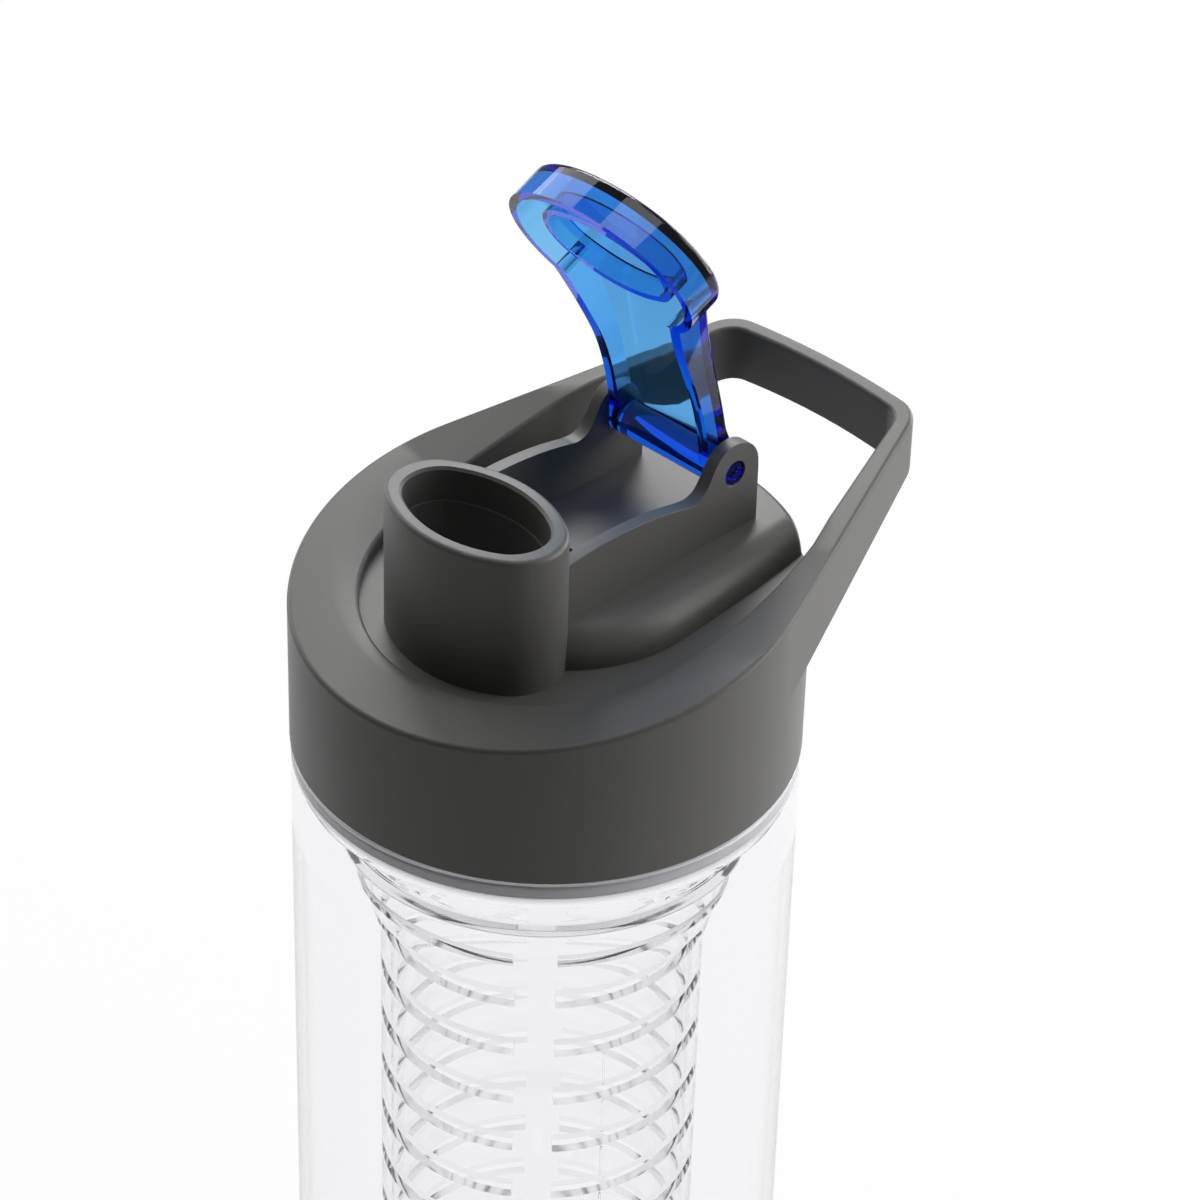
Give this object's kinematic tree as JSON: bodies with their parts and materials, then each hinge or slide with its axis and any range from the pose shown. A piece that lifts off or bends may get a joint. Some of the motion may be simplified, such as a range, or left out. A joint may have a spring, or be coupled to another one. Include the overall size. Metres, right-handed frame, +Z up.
{
  "type": "water bottle",
  "caption": "Clear fruit infuser water bottle with a slotted fruit tube, a screw lid with spout and carry loop, and a flip cap.",
  "frame": {"origin": "middle of the flat base, on the surface the bottle stands on", "axes": "+Z up along the bottle, -Y towards the spout, +Y towards the carry loop, +X along the flip cap's hinge"},
  "size_m": [0.075, 0.0962, 0.2785],
  "materials": {
    "clear_plastic": "clear",
    "clear_tube": "clear",
    "silicone": "matte",
    "lid_plastic": "fine texture",
    "cap_plastic": "translucent"
  },
  "bodies": {
    "bottle": {"bottle_body": "clear_plastic"},
    "infuser": {"infuser_tube": "clear_tube", "neck_seal": "silicone"},
    "infuser_cap": {"infuser_base": "clear_tube"},
    "seal_ring": {"lid_gasket": "silicone"},
    "lid": {"lid_shell": "lid_plastic", "vent_valve": "silicone"},
    "flip": {"flip_cap": "cap_plastic"}
  },
  "joints": [
    {"name": "infuser_lift", "type": "slide", "parent": "bottle", "child": "infuser", "axis": [0, 0, 1], "range_m": [0, 0.19]},
    {"name": "base_pull", "type": "slide", "parent": "infuser", "child": "infuser_cap", "axis": [0, 0, -1], "range_m": [0, 0.012]},
    {"name": "lid_rise", "type": "slide", "parent": "infuser", "child": "seal_ring", "axis": [0, 0, 1], "range_m": [0, 0.0051]},
    {"name": "lid_turn", "type": "hinge", "parent": "seal_ring", "child": "lid", "pos_m": [0, 0, 0.1904], "axis": [0, 0, 1], "range_deg": [0, 450]},
    {"name": "cap_flip", "type": "hinge", "parent": "lid", "child": "flip", "pos_m": [0, 0.0246, 0.2296], "axis": [-1, 0, 0], "range_deg": [-64, 40]}
  ],
  "couplings": [
    {"joint": "lid_rise", "follows": "lid_turn", "m_per_rad": 0.00063662}
  ]
}
